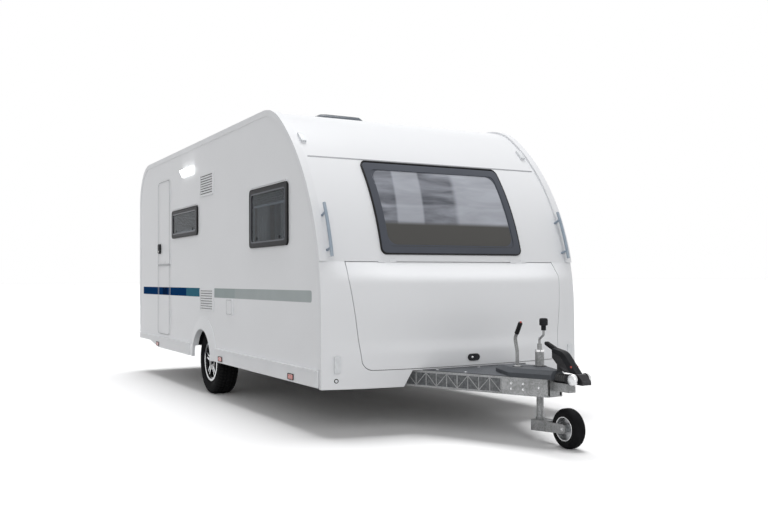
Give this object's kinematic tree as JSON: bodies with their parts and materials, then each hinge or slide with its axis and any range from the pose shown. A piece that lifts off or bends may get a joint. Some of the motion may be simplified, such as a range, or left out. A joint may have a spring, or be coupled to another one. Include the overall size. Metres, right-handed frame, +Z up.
{
  "type": "travel caravan",
  "caption": "White single-axle touring caravan with a curved front, drawbar, jockey wheel, entrance door, gas locker hatch, windows and folding corner steadies.",
  "frame": {"origin": "on the ground, in the middle of the overall length and width", "axes": "+X forward to the coupling, +Y to the caravan's left, +Z up"},
  "size_m": [6.699, 2.358, 2.575],
  "materials": {
    "body_white": "glossy coated sheet",
    "floor_board": "matt board",
    "trim_white": "satin",
    "trim_black": "satin",
    "acrylic": "clear acrylic",
    "dome": "tinted acrylic",
    "lamp": "clear coloured lens",
    "lamp_white": "frosted lens",
    "galvanised": "galvanised",
    "cover_grey": "satin",
    "tyre": "matt",
    "alloy": "black with turned faces",
    "steel_rim": "zinc plated",
    "coupling": "black coated",
    "rubber": "matt",
    "grab": "satin",
    "wood": "satin",
    "fabric": "woven"
  },
  "bodies": {
    "caravan": {"arch_trims": "trim_white", "awning_lamp": "lamp_white", "axle_tube": "galvanised", "chassis_frame": "galvanised", "coupling_head": "coupling", "cushions": "fabric", "drawbar": "galvanised", "drawbar_cover": "cover_grey", "edge_rails": "trim_white", "floor_panel": "floor_board", "front_moulding": "body_white", "front_wall": "body_white", "front_window_frame": "trim_black", "front_window_pane": "acrylic", "furniture": "wood", "grab_handles": "grab", "handbrake_lever": "galvanised", "jockey_crank": "galvanised", "jockey_outer_tube": "galvanised", "locker_bulkhead": "trim_white", "marker_lamps": "lamp", "overrun_bellows": "rubber", "overrun_unit": "galvanised", "rear_lamps": "lamp", "rear_moulding": "trim_white", "rear_wall": "body_white", "refrigerator_vents": "trim_white", "roof_light_domes": "dome", "roof_light_frames": "trim_white", "roof_panel": "body_white", "side_skirts": "trim_white", "side_wall_left": "body_white", "side_wall_right": "body_white", "socket_flap": "trim_white", "stabiliser_handle": "trim_black", "trailing_arms": "galvanised", "wheel_housings": "trim_black", "window_frames": "trim_black", "window_panes": "acrylic"},
    "wheel_right": {"tyre_right": "tyre", "rim_right": "alloy"},
    "wheel_left": {"tyre_left": "tyre", "rim_left": "alloy"},
    "jockey_slide": {"jockey_inner_tube": "galvanised"},
    "jockey_swivel": {"jockey_fork": "galvanised"},
    "jockey_roller": {"jockey_tyre": "tyre", "jockey_rim": "steel_rim"},
    "door": {"entrance_door": "body_white", "door_handle": "trim_black"},
    "hatch": {"locker_hatch": "body_white", "hatch_latch": "trim_black"},
    "service_door": {"cassette_door": "trim_white"},
    "leg_front_left": {"steady_front_left": "galvanised"},
    "leg_front_right": {"steady_front_right": "galvanised"},
    "leg_rear_left": {"steady_rear_left": "galvanised"},
    "leg_rear_right": {"steady_rear_right": "galvanised"}
  },
  "joints": [
    {"name": "wheel_right_spin", "type": "hinge", "parent": "caravan", "child": "wheel_right", "pos_m": [-0.76, -0.9875, 0.314], "axis": [0, 1, 0], "continuous": true},
    {"name": "wheel_left_spin", "type": "hinge", "parent": "caravan", "child": "wheel_left", "pos_m": [-0.76, 0.9875, 0.314], "axis": [0, 1, 0], "continuous": true},
    {"name": "jockey_raise", "type": "slide", "parent": "caravan", "child": "jockey_slide", "axis": [0, 0, 1], "range_m": [0, 0.065]},
    {"name": "jockey_turn", "type": "hinge", "parent": "jockey_slide", "child": "jockey_swivel", "pos_m": [2.787, 0.085, 0.12], "axis": [0, 0, 1], "continuous": true},
    {"name": "jockey_spin", "type": "hinge", "parent": "jockey_swivel", "child": "jockey_roller", "pos_m": [3.07, 0.085, 0.13], "axis": [0, 1, 0], "continuous": true},
    {"name": "door_swing", "type": "hinge", "parent": "caravan", "child": "door", "pos_m": [-1.957, -1.151, 1.35], "axis": [0, 0, 1], "range_deg": [0, 150]},
    {"name": "hatch_lift", "type": "hinge", "parent": "caravan", "child": "hatch", "pos_m": [1.90434, 0, 1.227], "axis": [0, -1, 0], "range_deg": [0, 80]},
    {"name": "service_door_drop", "type": "hinge", "parent": "caravan", "child": "service_door", "pos_m": [-1.37, 1.151, 0.56], "axis": [-1, 0, 0], "range_deg": [0, 100]},
    {"name": "leg_front_left_fold", "type": "hinge", "parent": "caravan", "child": "leg_front_left", "pos_m": [1.42, 0.85, 0.385], "axis": [0, 1, 0], "range_deg": [0, 55]},
    {"name": "leg_front_right_fold", "type": "hinge", "parent": "caravan", "child": "leg_front_right", "pos_m": [1.42, -0.85, 0.385], "axis": [0, 1, 0], "range_deg": [0, 55]},
    {"name": "leg_rear_left_fold", "type": "hinge", "parent": "caravan", "child": "leg_rear_left", "pos_m": [-2.76, 0.85, 0.385], "axis": [0, -1, 0], "range_deg": [0, 55]},
    {"name": "leg_rear_right_fold", "type": "hinge", "parent": "caravan", "child": "leg_rear_right", "pos_m": [-2.76, -0.85, 0.385], "axis": [0, -1, 0], "range_deg": [0, 55]}
  ]
}
